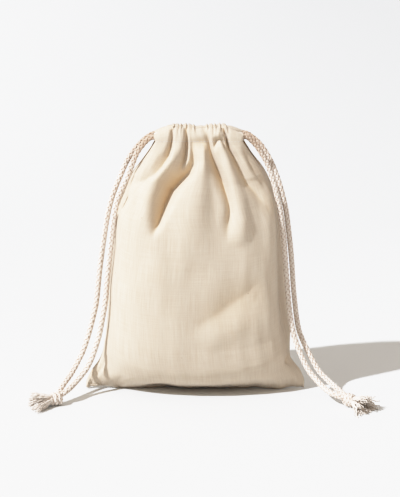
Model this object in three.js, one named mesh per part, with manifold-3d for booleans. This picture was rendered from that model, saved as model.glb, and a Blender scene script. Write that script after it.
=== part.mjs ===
// A kinchaku drawstring pouch standing full and drawn shut.
// Millimetres, +Z up, the front looks towards -Y, and the origin is on the floor under the middle.
// The pouch is one strip of cotton, folded at the bottom and sewn up both sides. Its top edge is turned
// down into a front and a back casing, and two braided cords run through both casings from opposite sides.
import * as THREE from 'three';
import { mergeVertices } from 'three/addons/utils/BufferGeometryUtils.js';
import Module from 'manifold-3d';

const wasm = await Module();
wasm.setup();

// Filled body: across the bottom corners, front to back at the fullest level, floor to casing, the flat
// patch that it stands on, and how far the bottom crease is off the floor at its middle and corners
const cornerSpan = 175.6;
const bellyDepth = 82;
const casingFoot = 197;
const floorPatchSpan = 158;
const floorPatchDepth = 28;
const bottomCreaseLift = 7.5;
const cornerLift = 1.2;
const gatherDepth = 1.6;
const gatherCount = 15;
const gatherStart = 0.7;
const outlineSteps = 60;

// Drawn casing, which stands a little to the right of the pouch's middle
const casingWidth = 66.6;
const casingHeight = 15.7;
const casingWall = 2.25;
const mouthGap = 3.2;
const endCutBack = 8.5;
const casingMiddle = 2.9;
const ruffleDepth = 0.7;
const ruffleCount = 7;
const seatDepth = 2;
const seatInset = 2.1;

// Cords
const cordDiameter = 4.5;
const cordGap = 0.5;
const tunnelClearance = 0.4;
const bightClearance = 1.1;
const laneStraight = 1.5;
const meetingGap = 0.3;
const slantedEnd = 0.7;
const cordSides = 10;

// Knots with their frayed ends
const knotRadius = 5.3;
const knotLength = 10.2;
const knotWaist = 0.5;
const frayLength = 15;
const frayRadius = 5.1;
const floorGap = 0.1;

// Places worked out from the sizes above
const cordRadius = cordDiameter / 2;
const laneStep = (cordDiameter + cordGap) / 2;
const tunnelSide = 2 * (laneStep + cordRadius + tunnelClearance);
const laneMiddle = mouthGap / 2 + casingWall + tunnelSide / 2;
const casingDepth = tunnelSide + 2 * casingWall;
const casingOuter = mouthGap / 2 + casingDepth;
const cordLevel = casingFoot + casingHeight / 2;
const bightRadius = laneMiddle - laneStep;
const slitWallEnd = casingWidth / 2 - endCutBack * (1 - casingWall / (laneMiddle - mouthGap / 2));
const bightPlace = slitWallEnd + bightClearance;
const laneEnd = bightPlace - laneStraight;

// Body levels from the floor to the casing: share of casingFoot, share of the corner span,
// share of the belly depth, sideways shift, and how lens-like the level is (1 round, 2 a lens).
const bodyLevels = [
  { up: 0.028, wide: 1.000, deep: 0.640, shift: 0.0, lens: 1.95 },
  { up: 0.056, wide: 0.985, deep: 0.690, shift: 0.3, lens: 1.80 },
  { up: 0.090, wide: 0.945, deep: 0.735, shift: 0.7, lens: 1.65 },
  { up: 0.120, wide: 0.893, deep: 0.780, shift: 0.6, lens: 1.50 },
  { up: 0.160, wide: 0.874, deep: 0.830, shift: 1.2, lens: 1.38 },
  { up: 0.230, wide: 0.850, deep: 0.905, shift: 1.0, lens: 1.28 },
  { up: 0.310, wide: 0.822, deep: 0.965, shift: 0.7, lens: 1.20 },
  { up: 0.400, wide: 0.800, deep: 0.995, shift: 1.3, lens: 1.14 },
  { up: 0.490, wide: 0.775, deep: 1.000, shift: 1.6, lens: 1.10 },
  { up: 0.580, wide: 0.750, deep: 0.975, shift: 1.6, lens: 1.06 },
  { up: 0.670, wide: 0.735, deep: 0.915, shift: 1.2, lens: 1.04 },
  { up: 0.750, wide: 0.705, deep: 0.820, shift: 0.9, lens: 1.02 },
  { up: 0.820, wide: 0.645, deep: 0.710, shift: 2.2, lens: 1.00 },
  { up: 0.880, wide: 0.575, deep: 0.600, shift: 3.4, lens: 1.00 },
  { up: 0.940, wide: 0.488, deep: 0.490, shift: 4.1, lens: 1.00 },
];

function clothMaterial() {
  return new THREE.MeshStandardMaterial({ color: 0xefe4d0, roughness: 0.92, metalness: 0 });
}

function cordMaterial() {
  return new THREE.MeshStandardMaterial({ color: 0xe9d9c3, roughness: 0.9, metalness: 0 });
}

function toSolid(geometry) {
  const bare = geometry.index ? geometry.clone() : mergeVertices(geometry.clone());
  bare.deleteAttribute('normal');
  bare.deleteAttribute('uv');
  const merged = mergeVertices(bare, 1e-4);
  const vertProperties = new Float32Array(merged.attributes.position.array);
  const triVerts = new Uint32Array(merged.index.array);
  return new wasm.Manifold(new wasm.Mesh({ numProp: 3, vertProperties, triVerts }));
}

function toGeometry(solid) {
  const mesh = solid.getMesh();
  const geometry = new THREE.BufferGeometry();
  geometry.setAttribute('position', new THREE.BufferAttribute(new Float32Array(mesh.vertProperties), 3));
  geometry.setIndex(new THREE.BufferAttribute(new Uint32Array(mesh.triVerts), 1));
  geometry.computeVertexNormals();
  return geometry;
}

// One level outline: x follows the cosine and y a power of the sine, so a power of 2 gives two arcs
// that meet at the side seams. Gathers ripple the outline near the casing.
function levelOutline(halfWidth, halfDepth, shift, lens, height, ripple, count) {
  const points = [];
  for (let i = 0; i < count; i += 1) {
    const angle = (2 * Math.PI * i) / count;
    const across = Math.cos(angle);
    const along = Math.sin(angle);
    const wave = ripple * Math.cos(gatherCount * angle) * Math.abs(along);
    const deep = halfDepth * Math.pow(Math.abs(along), lens) + wave;
    points.push([shift + halfWidth * across, Math.sign(along) * deep, height(across)]);
  }
  return points;
}

// The body is a loft through its levels, closed by a flat patch on the floor and by the casing's seat.
function bodyGeometry() {
  const count = outlineSteps;
  const halfSpan = cornerSpan / 2;
  const crease = (across) => cornerLift + bottomCreaseLift * (1 - across * across);
  const rings = [
    levelOutline(floorPatchSpan / 2, floorPatchDepth / 2, 0, 1.9, () => 0, 0, count),
    levelOutline(halfSpan * 0.985, bellyDepth * 0.29, 0, 1.95, crease, 0, count),
  ];
  for (const level of bodyLevels) {
    const z = casingFoot * level.up;
    const height = (across) => Math.max(z, crease(across) + cornerLift);
    const ripple = (gatherDepth * Math.max(0, level.up - gatherStart)) / (1 - gatherStart);
    const halfWidth = halfSpan * level.wide;
    const halfDepth = (bellyDepth / 2) * level.deep;
    rings.push(levelOutline(halfWidth, halfDepth, level.shift, level.lens, height, ripple, count));
  }
  const topHalf = casingWidth / 2 - seatInset;
  for (const z of [casingFoot, casingFoot + seatDepth]) {
    rings.push(levelOutline(topHalf, casingOuter - ruffleDepth, casingMiddle, 0.8, () => z, 0, count));
  }
  const positions = rings.flat(2);
  const floorCentre = positions.length / 3;
  positions.push(0, 0, 0);
  positions.push(casingMiddle, 0, casingFoot + seatDepth);
  const index = [];
  for (let ring = 0; ring < rings.length - 1; ring += 1) {
    for (let i = 0; i < count; i += 1) {
      const next = (i + 1) % count;
      const a = ring * count + i;
      const b = ring * count + next;
      const c = a + count;
      const d = b + count;
      index.push(a, b, d, a, d, c);
    }
  }
  const topRing = (rings.length - 1) * count;
  for (let i = 0; i < count; i += 1) {
    const next = (i + 1) % count;
    index.push(floorCentre, next, i);
    index.push(floorCentre + 1, topRing + i, topRing + next);
  }
  const geometry = new THREE.BufferGeometry();
  geometry.setAttribute('position', new THREE.Float32BufferAttribute(positions, 3));
  geometry.setIndex(index);
  return geometry;
}

// One casing in plan: a ruffled outer edge, ends cut back towards the mouth so that the side slit opens.
function casingGeometry(side) {
  const half = casingWidth / 2;
  const plan = new THREE.Shape();
  const steps = ruffleCount * 6;
  plan.moveTo(-half, -laneMiddle);
  for (let i = 0; i <= steps; i += 1) {
    const share = i / steps;
    const wave = ruffleDepth * (Math.cos(2 * Math.PI * ruffleCount * share) - 1);
    plan.lineTo(-half + casingWidth * share, -(casingOuter + wave));
  }
  plan.lineTo(half, -laneMiddle);
  plan.lineTo(half - endCutBack, -mouthGap / 2);
  plan.lineTo(-half + endCutBack, -mouthGap / 2);
  plan.closePath();
  const bar = new THREE.ExtrudeGeometry(plan, { depth: casingHeight, bevelEnabled: false });
  if (side === 1) {
    bar.rotateZ(Math.PI);
  }
  bar.translate(casingMiddle, 0, casingFoot);
  return bar;
}

// The channel that the two cords share, a rounded square hole right through a casing.
function tunnelGeometry(side) {
  const half = tunnelSide / 2;
  const corner = cordRadius + tunnelClearance;
  const hole = new THREE.Shape();
  hole.absarc(half - corner, half - corner, corner, 0, Math.PI / 2);
  hole.absarc(-half + corner, half - corner, corner, Math.PI / 2, Math.PI);
  hole.absarc(-half + corner, -half + corner, corner, Math.PI, Math.PI * 1.5);
  hole.absarc(half - corner, -half + corner, corner, Math.PI * 1.5, Math.PI * 2);
  const length = casingWidth + 2 * endCutBack;
  const options = { depth: length, bevelEnabled: false, curveSegments: 4 };
  const bore = new THREE.ExtrudeGeometry(hole, options);
  bore.rotateY(Math.PI / 2);
  bore.translate(casingMiddle - length / 2, side * laneMiddle, cordLevel);
  return bore;
}

function pouchCloth() {
  let solid = toSolid(bodyGeometry());
  for (const side of [-1, 1]) {
    const bar = toSolid(casingGeometry(side)).subtract(toSolid(tunnelGeometry(side)));
    solid = solid.add(bar);
  }
  return named('pouch_cloth', toGeometry(solid), clothMaterial());
}

// A hanging cord has its steps at its listed points, which lie closer where it bends.
class CordRoute extends THREE.CatmullRomCurve3 {
  getUtoTmapping(share) {
    return share;
  }
}

// Hanging strands from the casing's end down to the floor, chosen by hand.
const leftBackStrand = [
  [-33.7, 11.3, 204.3], [-38.8, 10.2, 201.2], [-43.9, 8.0, 196.6], [-48.5, 6.0, 191.4],
  [-52.4, 4.0, 185.7], [-55.5, 2.0, 179.7], [-58.2, 0.0, 173.3], [-61.2, -1.5, 166.5],
  [-64.2, -3.0, 158.4], [-67.2, -4.0, 147.9], [-69.4, -4.5, 137.2], [-71.4, -5.0, 124.5],
  [-73.4, -5.0, 111.6], [-75.4, -5.0, 97.1], [-76.8, -5.0, 84.1], [-78.5, -5.0, 71.0],
  [-81.6, -5.0, 57.9], [-85.3, -5.5, 44.8], [-89.7, -7.0, 32.1], [-92.8, -10.0, 26.3],
  [-95.7, -14.5, 21.1], [-99.0, -22.5, 16.9], [-102.3, -38.0, 14.8],
];
const leftFrontStrand = [
  [-33.4, -11.5, 204.9], [-37.2, -11.3, 202.3], [-41.1, -11.0, 197.9], [-44.6, -11.0, 192.9],
  [-48.0, -11.5, 184.8], [-52.2, -12.5, 174.1], [-56.6, -13.5, 164.8], [-60.2, -14.0, 155.6],
  [-62.2, -14.3, 146.1], [-63.7, -14.3, 135.8], [-65.0, -14.0, 124.5], [-66.4, -14.0, 113.4],
  [-68.1, -14.0, 98.9], [-69.4, -14.5, 86.3], [-70.7, -15.0, 73.6], [-73.1, -14.5, 60.5],
  [-75.9, -13.5, 47.1], [-80.0, -14.0, 34.1], [-82.4, -15.5, 28.0], [-85.5, -18.0, 22.1],
  [-90.0, -22.0, 16.7], [-95.0, -28.5, 12.2], [-99.4, -43.6, 11.6],
];
const rightFrontStrand = [
  [39.4, -11.5, 205.6], [44.2, -11.0, 202.0], [48.7, -10.6, 196.7], [52.0, -10.4, 191.7],
  [55.7, -10.2, 185.1], [58.3, -10.0, 178.4], [60.9, -10.0, 170.6], [63.0, -10.0, 162.3],
  [66.2, -9.5, 147.7], [68.9, -9.0, 130.1], [70.2, -8.5, 117.2], [71.2, -8.0, 105.9],
  [72.8, -8.0, 87.3], [74.5, -9.0, 69.3], [75.9, -9.5, 59.1], [77.5, -10.5, 50.9],
  [80.1, -11.5, 41.7], [83.5, -13.5, 32.9], [89.9, -18.5, 20.3], [95.4, -24.0, 14.5],
  [101.1, -32.0, 10.2], [107.2, -44.0, 9.1],
];
const rightBackStrand = [
  [39.6, 11.3, 205.2], [45.2, 10.0, 202.0], [51.0, 8.0, 197.0], [56.3, 6.0, 189.4],
  [59.9, 4.0, 183.0], [62.6, 2.0, 176.6], [65.4, 1.0, 168.8], [67.9, 0.0, 160.6],
  [71.4, -1.0, 146.1], [73.9, -1.5, 128.6], [75.4, -2.0, 115.8], [76.5, -2.0, 104.5],
  [77.9, -2.5, 85.9], [79.8, -3.0, 67.8], [81.2, -3.5, 57.5], [82.9, -4.0, 49.1],
  [86.5, -5.5, 39.9], [90.8, -8.0, 31.3], [98.2, -14.0, 18.8], [104.3, -21.0, 13.6],
  [110.1, -36.0, 11.5],
];

// Each knot lies on the floor with its frayed ends pointing away from the pouch.
const knots = {
  left: { x: -108.5, y: -44.5, heading: Math.atan2(-0.43, -0.9) },
  right: { x: 120.2, y: -48.2, heading: Math.atan2(-0.66, 0.75) },
};

function knotCentre(knot) {
  return new THREE.Vector3(knot.x, knot.y, knotRadius + floorGap);
}

// The last point of a strand stops just short of the knot that it runs into.
function endAtKnot(strand, knot) {
  const centre = knotCentre(knot);
  const last = new THREE.Vector3(...strand[strand.length - 1]);
  const reach = knotRadius + slantedEnd + meetingGap;
  return last.sub(centre).setLength(reach).add(centre);
}

// Inside the casings the two cords turn half round each other, so each leaves at the outside on its own
// side and crosses the other side's slit at the inside.
function casingRun(own, bank, rise) {
  const points = [];
  const steps = 8;
  for (let i = 0; i <= steps; i += 1) {
    const turn = (Math.PI * i) / steps;
    const x = casingMiddle + own * laneEnd * (1 - (2 * i) / steps);
    const y = bank * (laneMiddle + laneStep * Math.cos(turn));
    points.push(new THREE.Vector3(x, y, cordLevel + rise * laneStep * Math.sin(turn)));
  }
  return points;
}

function bight(own) {
  const points = [];
  const steps = 6;
  for (let i = 0; i <= steps; i += 1) {
    const turn = (Math.PI * i) / steps;
    const x = casingMiddle - own * (bightPlace + bightRadius * Math.sin(turn));
    points.push(new THREE.Vector3(x, bightRadius * Math.cos(turn), cordLevel));
  }
  return points;
}

function drawcord(name, own, rise, backStrand, frontStrand, knot) {
  const exit = own * (casingWidth / 2);
  const route = [
    endAtKnot(backStrand, knot),
    ...backStrand.map((point) => new THREE.Vector3(...point)).reverse(),
    new THREE.Vector3(casingMiddle + exit, laneMiddle + laneStep, cordLevel),
    ...casingRun(own, 1, rise),
    ...bight(own),
    ...casingRun(own, -1, rise).reverse(),
    new THREE.Vector3(casingMiddle + exit, -laneMiddle - laneStep, cordLevel),
    ...frontStrand.map((point) => new THREE.Vector3(...point)),
    endAtKnot(frontStrand, knot),
  ];
  const section = new THREE.Shape();
  for (let i = 0; i < cordSides; i += 1) {
    const angle = (2 * Math.PI * i) / cordSides;
    const place = [cordRadius * Math.cos(angle), cordRadius * Math.sin(angle)];
    if (i === 0) {
      section.moveTo(...place);
    } else {
      section.lineTo(...place);
    }
  }
  section.closePath();
  const path = new CordRoute(route, false, 'centripetal');
  const geometry = new THREE.ExtrudeGeometry(section, { steps: route.length - 1, extrudePath: path });
  return named(name, geometry, cordMaterial());
}

// An overhand knot of both strands with the frayed ends beyond it, turned about its own length.
function tiedKnot(name, knot) {
  const back = -knotLength / 2;
  const front = knotLength / 2;
  const neck = cordRadius * 1.15;
  const profile = [
    [0, back], [neck, back + 0.2], [knotRadius * 0.86, back + 1.4], [knotRadius, back + 3],
    [knotRadius - knotWaist, 0], [knotRadius, front - 3], [knotRadius * 0.86, front - 1.4],
    [neck, front], [neck * 1.25, front + frayLength * 0.25], [frayRadius * 0.86, front + frayLength * 0.6],
    [frayRadius, front + frayLength * 0.85], [frayRadius * 0.8, front + frayLength], [0, front + frayLength],
  ];
  const geometry = new THREE.LatheGeometry(profile.map(([r, y]) => new THREE.Vector2(r, y)), 20);
  geometry.rotateZ(-Math.PI / 2);
  const mesh = named(name, geometry, cordMaterial());
  mesh.rotation.z = knot.heading;
  mesh.position.copy(knotCentre(knot));
  return mesh;
}

function named(name, geometry, material) {
  const mesh = new THREE.Mesh(geometry, material);
  mesh.name = name;
  return mesh;
}

const pouch = new THREE.Group();
pouch.add(pouchCloth());
pouch.add(drawcord('left_drawcord', -1, -1, leftBackStrand, leftFrontStrand, knots.left));
pouch.add(drawcord('right_drawcord', 1, 1, rightBackStrand, rightFrontStrand, knots.right));
pouch.add(tiedKnot('left_knot', knots.left));
pouch.add(tiedKnot('right_knot', knots.right));

export default pouch;
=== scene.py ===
"""A small kinchaku drawstring pouch of unbleached cotton, standing full.

The pouch is one strip of cloth folded at its foot and sewn up both sides. Two braided drawcords gather
its two casings. Each leaves the mouth at one side, hangs down beside the pouch and ends in a knot and a
frayed tuft. Lengths are in millimetres until they are put into a mesh.
"""

import bmesh
import bpy
import numpy as np
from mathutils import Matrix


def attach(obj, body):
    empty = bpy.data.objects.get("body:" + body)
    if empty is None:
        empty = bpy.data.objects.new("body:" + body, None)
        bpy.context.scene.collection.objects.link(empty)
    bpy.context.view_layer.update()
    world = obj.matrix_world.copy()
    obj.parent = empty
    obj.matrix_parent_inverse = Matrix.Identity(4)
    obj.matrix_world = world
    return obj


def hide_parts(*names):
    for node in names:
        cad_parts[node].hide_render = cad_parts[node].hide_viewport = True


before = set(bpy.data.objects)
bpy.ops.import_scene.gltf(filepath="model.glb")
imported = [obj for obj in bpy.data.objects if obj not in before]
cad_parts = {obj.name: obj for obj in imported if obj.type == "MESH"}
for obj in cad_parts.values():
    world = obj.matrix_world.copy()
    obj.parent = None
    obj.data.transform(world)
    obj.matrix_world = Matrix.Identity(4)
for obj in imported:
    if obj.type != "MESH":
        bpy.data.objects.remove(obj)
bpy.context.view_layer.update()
MM = 0.001
rng = np.random.default_rng(7)

# Sizes

cord_diameter = 4.5
braid_pitch = 18.0
braid_carriers = 4
cloth_thickness = 0.55
strip_width = 184
slit_foot = 177.0
casing_middle = 2.9

# A cord leaves the casings this far from their middle, this far before or behind it and at this height

exit_side = 33.3
exit_depth = 11.5
exit_level = 204.85

# The points of the four hanging strands, from the casing's end to the knot

left_back_strand = [
    (-33.7, 11.3, 204.3), (-38.8, 10.2, 201.2), (-43.9, 8, 196.6), (-48.5, 6, 191.4), (-52.4, 4, 185.7),
    (-55.5, 2, 179.7), (-58.2, 0, 173.3), (-61.2, -1.5, 166.5), (-64.2, -3, 158.4), (-67.2, -4, 147.9),
    (-69.4, -4.5, 137.2), (-71.4, -5, 124.5), (-73.4, -5, 111.6), (-75.4, -5, 97.1), (-76.8, -5, 84.1),
    (-78.5, -5, 71), (-81.6, -5, 57.9), (-85.3, -5.5, 44.8), (-89.7, -7, 32.1), (-92.8, -10, 26.3),
    (-95.7, -14.5, 21.1), (-99, -22.5, 16.9), (-102.9, -32, 13),
]
left_front_strand = [
    (-33.4, -11.5, 204.9), (-37.2, -11.3, 202.3), (-41.1, -11, 197.9), (-44.6, -11, 192.9),
    (-48, -11.5, 184.8), (-52.3, -10.5, 173.7), (-56.8, -10, 164.1), (-60.4, -11.5, 155.1),
    (-62.2, -14.3, 146.1), (-63.7, -14.3, 135.8), (-65, -14, 124.5), (-66.4, -14, 113.4),
    (-68.1, -14, 98.9), (-69.4, -14.5, 86.3), (-70.7, -15, 73.6), (-73.1, -14.5, 60.5),
    (-75.9, -13.5, 47.1), (-80, -14, 34.1), (-82.4, -15.5, 28), (-85.5, -18, 22.1), (-90, -22, 16.7),
    (-95, -28.5, 12.2), (-99.9, -38, 9.5),
]
right_front_strand = [
    (39.4, -11.5, 205.6), (44.2, -11, 202), (48.7, -10.6, 196.7), (52, -10.4, 191.7),
    (55.7, -10.2, 185.1), (58.3, -10, 178.4), (60.9, -10, 170.6), (63, -10, 162.3), (66.2, -9.5, 147.7),
    (68.9, -9, 130.1), (70.2, -8.5, 117.2), (71.2, -8, 105.9), (72.8, -8, 87.3), (74.5, -9, 69.3),
    (75.9, -9.5, 59.1), (77.5, -10.5, 50.9), (80.1, -11.5, 41.7), (83.5, -13.5, 32.9),
    (89.9, -18.5, 20.3), (95.4, -24, 14.5), (101.1, -32, 10.2), (107.2, -44, 9.1),
]
right_back_strand = [
    (39.6, 11.3, 205.2), (45.2, 10, 202), (51, 8, 197), (56.3, 6, 189.4), (59.9, 4, 183),
    (62.6, 2, 176.6), (65.4, 1, 168.8), (67.9, 0, 160.6), (71.4, -1, 146.1), (73.9, -1.5, 128.6),
    (75.4, -2, 115.8), (76.5, -2, 104.5), (77.9, -2.5, 85.9), (79.8, -3, 67.8), (81.2, -3.5, 57.5),
    (82.9, -4, 49.1), (86.5, -5.5, 39.9), (90.8, -8, 31.3), (98.2, -14, 18.8), (104.3, -21, 13.6),
    (110.1, -36, 11.5),
]
knots = {
    "left_knot": {"centre": (-108.5, -44.5, 5.4), "heading": (-0.9, -0.43)},
    "right_knot": {"centre": (120.2, -48.2, 5.4), "heading": (0.75, -0.66)},
}

# The cloth's grid: its columns, the rows of one panel, the rows of them that are casing, and the columns
# that a panel is worked out with before they are spaced evenly

columns = 140
panel_rows = 156
hem_rows = 15
fine_columns = 900


class Socket:
    """A node's output that takes part in sums: +, -, * and / with numbers or other outputs add Math nodes.
    A number comes first only in a difference."""

    def __init__(self, graph, output):
        self.graph = graph
        self.output = output

    def maths(self, operation, *values):
        return self.graph.node("ShaderNodeMath", {"operation": operation}, dict(enumerate(values)))

    def __add__(self, other):
        return self.maths("ADD", self, other)

    def __sub__(self, other):
        return self.maths("SUBTRACT", self, other)

    def __mul__(self, other):
        return self.maths("MULTIPLY", self, other)

    def __truediv__(self, other):
        return self.maths("DIVIDE", self, other)

    def __rsub__(self, other):
        return self.maths("SUBTRACT", other, self)

    def sine(self):
        return self.maths("SINE", self)

    def clipped(self):
        return self.graph.node("ShaderNodeClamp", {}, {"Value": self})


class Graph:
    """The nodes of a material or of the world, added one at a time."""

    def __init__(self, name, owner=None):
        self.material = owner or bpy.data.materials.new(name)
        self.material.use_nodes = True
        self.tree = self.material.node_tree
        self.tree.nodes.clear()

    def node(self, kind, settings, values, output=0):
        """Adds a node: its settings, then a number, colour or link for each socket, by name or by place."""
        node = self.tree.nodes.new(kind)
        for key, value in settings.items():
            setattr(node, key, value)
        for key, value in values.items():
            if isinstance(value, Socket):
                self.tree.links.new(value.output, node.inputs[key])
            else:
                node.inputs[key].default_value = value
        return Socket(self, node.outputs[output])

    def mix(self, factor, first, second):
        """A colour between first and second."""
        return self.node("ShaderNodeMix", {"data_type": "RGBA"}, {0: factor, 6: first, 7: second}, 2)

    def finish(self, surface, kind="ShaderNodeOutputMaterial"):
        """Links the surface to the output."""
        end = self.tree.nodes.new(kind)
        self.tree.links.new(surface.output, end.inputs["Surface"])
        return self.material


def curve_through(points, step):
    """Centripetal Catmull-Rom curve through the points, resampled at equal steps of its length."""
    points = np.asarray(points, float)
    padded = np.vstack([2 * points[0] - points[1], points, 2 * points[-1] - points[-2]])
    times = np.concatenate([[0], np.cumsum(np.linalg.norm(np.diff(padded, axis=0), axis=1) ** 0.5)])
    fine = []
    for k in range(1, len(padded) - 2):
        t0, t1, t2, t3 = times[k - 1:k + 3]
        p0, p1, p2, p3 = padded[k - 1:k + 3]
        t = np.linspace(t1, t2, 40, endpoint=False)[:, None]
        a1 = (t1 - t) / (t1 - t0) * p0 + (t - t0) / (t1 - t0) * p1
        a2 = (t2 - t) / (t2 - t1) * p1 + (t - t1) / (t2 - t1) * p2
        a3 = (t3 - t) / (t3 - t2) * p2 + (t - t2) / (t3 - t2) * p3
        b1 = (t2 - t) / (t2 - t0) * a1 + (t - t0) / (t2 - t0) * a2
        b2 = (t3 - t) / (t3 - t1) * a2 + (t - t1) / (t3 - t1) * a3
        fine.append((t2 - t) / (t2 - t1) * b1 + (t - t1) / (t2 - t1) * b2)
    fine = np.vstack([*fine, points[-1:]])
    return resample(fine, max(2, int(round(length_of(fine) / step)) + 1))


def length_of(line):
    return float(np.linalg.norm(np.diff(line, axis=0), axis=1).sum())


def distance_along(line):
    """The length of the line from its start to each of its points."""
    return np.concatenate([[0], np.cumsum(np.linalg.norm(np.diff(line, axis=0), axis=1))])


def resample(line, count):
    """The same line as count points at equal steps of its length."""
    along = distance_along(line)
    wanted = np.linspace(0, along[-1], count)
    return np.stack([np.interp(wanted, along, line[:, k]) for k in range(line.shape[1])], 1)


def moving_frame(line):
    """Side and up of each point of a line, turned from point to point by the least angle."""
    tangent = np.gradient(line, axis=0)
    tangent /= np.linalg.norm(tangent, axis=1)[:, None]
    side = np.zeros_like(line)
    side[0] = np.cross(tangent[0], (0.31, 0.9, 0.3))
    side[0] /= np.linalg.norm(side[0])
    for k in range(1, len(line)):
        carried = side[k - 1] - tangent[k] * (side[k - 1] @ tangent[k])
        side[k] = carried / np.linalg.norm(carried)
    return side, np.cross(tangent, side)


def tube_faces(rings, sides):
    """Quads between the rings of a tube."""
    here = np.arange(rings - 1)[:, None] * sides + np.arange(sides)
    there = np.arange(rings - 1)[:, None] * sides + (np.arange(sides) + 1) % sides
    return np.stack([here, there, there + sides, here + sides], -1).reshape(-1, 4)


def add_mesh(name, points, quads, polygons=(), uv=None):
    """A mesh object from points in millimetres, quads, any other polygons and a flat place for each point."""
    mesh = bpy.data.meshes.new(name)
    faces = [quads.ravel()] + [np.asarray(p).ravel() for p in polygons]
    starts = [np.arange(len(quads)) * 4]
    totals = [np.full(len(quads), 4)]
    at = len(quads) * 4
    for p in polygons:
        p = np.asarray(p)
        starts.append(at + np.arange(len(p)) * p.shape[1])
        totals.append(np.full(len(p), p.shape[1]))
        at += p.size
    loops = np.concatenate(faces).astype(np.int32)
    mesh.vertices.add(len(points))
    mesh.vertices.foreach_set("co", (np.asarray(points) * MM).astype(np.float32).ravel())
    mesh.loops.add(len(loops))
    mesh.loops.foreach_set("vertex_index", loops)
    starts = np.concatenate(starts).astype(np.int32)
    mesh.polygons.add(len(starts))
    mesh.polygons.foreach_set("loop_start", starts)
    mesh.polygons.foreach_set("loop_total", np.concatenate(totals).astype(np.int32))
    mesh.update(calc_edges=True)
    if uv is not None:
        layer = mesh.uv_layers.new(name="flat")
        layer.data.foreach_set("uv", np.asarray(uv)[loops].astype(np.float32).ravel())
    mesh.polygons.foreach_set("use_smooth", np.ones(len(starts), bool))
    mesh.validate()
    piece = bpy.data.objects.new(name, mesh)
    bpy.context.scene.collection.objects.link(piece)
    return piece


def tubes(lines, sides, across, through, frames=None):
    """Closed tubes along lines of shape (count, rings, 3). A ring is an ellipse: across times the side
    direction and through times the up direction, each a number or an array of shape (count, rings).
    Returns points, quads, end polygons and a flat place (distance along, turn round) for each point."""
    count, rings, _ = lines.shape
    if frames is None:
        tangent = np.gradient(lines, axis=1)
        tangent /= np.linalg.norm(tangent, axis=2)[..., None]
        hint = np.array([0.31, 0.25, 0.92])
        side = np.cross(tangent, hint)
        side /= np.linalg.norm(side, axis=2)[..., None]
        up = np.cross(side, tangent)
    else:
        side, up = frames
    turn = np.arange(sides) * 2 * np.pi / sides
    across = np.broadcast_to(across, (count, rings))[..., None, None]
    through = np.broadcast_to(through, (count, rings))[..., None, None]
    ring = (across * np.cos(turn)[:, None] * side[:, :, None]
            + through * np.sin(turn)[:, None] * up[:, :, None])
    points = lines[:, :, None] + ring
    one = tube_faces(rings, sides)
    offset = np.arange(count)[:, None, None] * rings * sides
    quads = (one[None] + offset).reshape(-1, 4)
    first = (np.arange(sides)[::-1][None] + offset[:, 0])
    last = (np.arange(sides)[None] + (rings - 1) * sides + offset[:, 0])
    along = np.concatenate([np.zeros((count, 1)),
                            np.cumsum(np.linalg.norm(np.diff(lines, axis=1), axis=2), axis=1)], 1)
    uv = np.stack([np.repeat(along[..., None], sides, 2),
                   np.broadcast_to(turn / (2 * np.pi), (count, rings, sides))], -1)
    return points.reshape(-1, 3), quads, np.concatenate([first, last]), uv.reshape(-1, 2)


def braid(line, radius, start_turn=0.0):
    """A diamond braid round a line. braid_carriers strands wind each way, at
    angle = 2 pi k / carriers + way * 2 pi s / pitch and
    radius = middle + way * rise * cos(2 pi carriers s / pitch),
    so that each strand passes over one and under the next. Lean makes them a little uneven. Returns what
    tubes() returns."""
    side, up = moving_frame(line)
    along = distance_along(line)
    lean = 0.5 * np.sin(along / 37.0) + 0.35 * np.sin(along / 13.0 + 1.0)
    ways = np.repeat([1.0, -1.0], braid_carriers)[:, None]
    first = np.tile(np.arange(braid_carriers), 2)[:, None] * 2 * np.pi / braid_carriers
    turn = first + ways * 2 * np.pi * along / braid_pitch + start_turn + lean * 0.25
    middle, rise = 0.6 * radius, 0.17 * radius
    reach = middle + ways * rise * np.cos(2 * np.pi * braid_carriers * along / braid_pitch + lean)
    outward = np.cos(turn)[..., None] * side[None] + np.sin(turn)[..., None] * up[None]
    lines = line[None] + reach[..., None] * outward
    run = np.gradient(lines, axis=1)
    run /= np.linalg.norm(run, axis=2)[..., None]
    across = np.cross(run, outward)
    across /= np.linalg.norm(across, axis=2)[..., None]
    return tubes(lines, 8, 0.44 * radius, 0.28 * radius, (across, outward))


def join_parts(parts):
    """Several results of tubes() as one."""
    points, quads, ends, uvs = [], [], [], []
    at = 0
    for p, q, e, u in parts:
        points.append(p)
        quads.append(q + at)
        ends.append(e + at)
        uvs.append(u)
        at += len(p)
    return np.vstack(points), np.vstack(quads), np.vstack(ends), np.vstack(uvs)


def sky_material():
    """A soft warm room: brighter overhead, and a little brighter on the left."""
    world = bpy.data.worlds.new("studio")
    sky = Graph("studio_sky", world)
    looked = sky.node("ShaderNodeTexCoord", {}, {}, 0)
    sideways = sky.node("ShaderNodeSeparateXYZ", {}, {"Vector": looked}, 0)
    upward = sky.node("ShaderNodeSeparateXYZ", {}, {"Vector": looked}, 2)
    strength = upward.maths("MAXIMUM", upward, 0.0) * 0.76 + 0.21 - sideways * 0.12
    light = sky.node("ShaderNodeBackground", {}, {"Color": (1.0, 0.9, 0.815, 1), "Strength": strength})
    sky.finish(light, "ShaderNodeOutputWorld")
    return world


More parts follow.
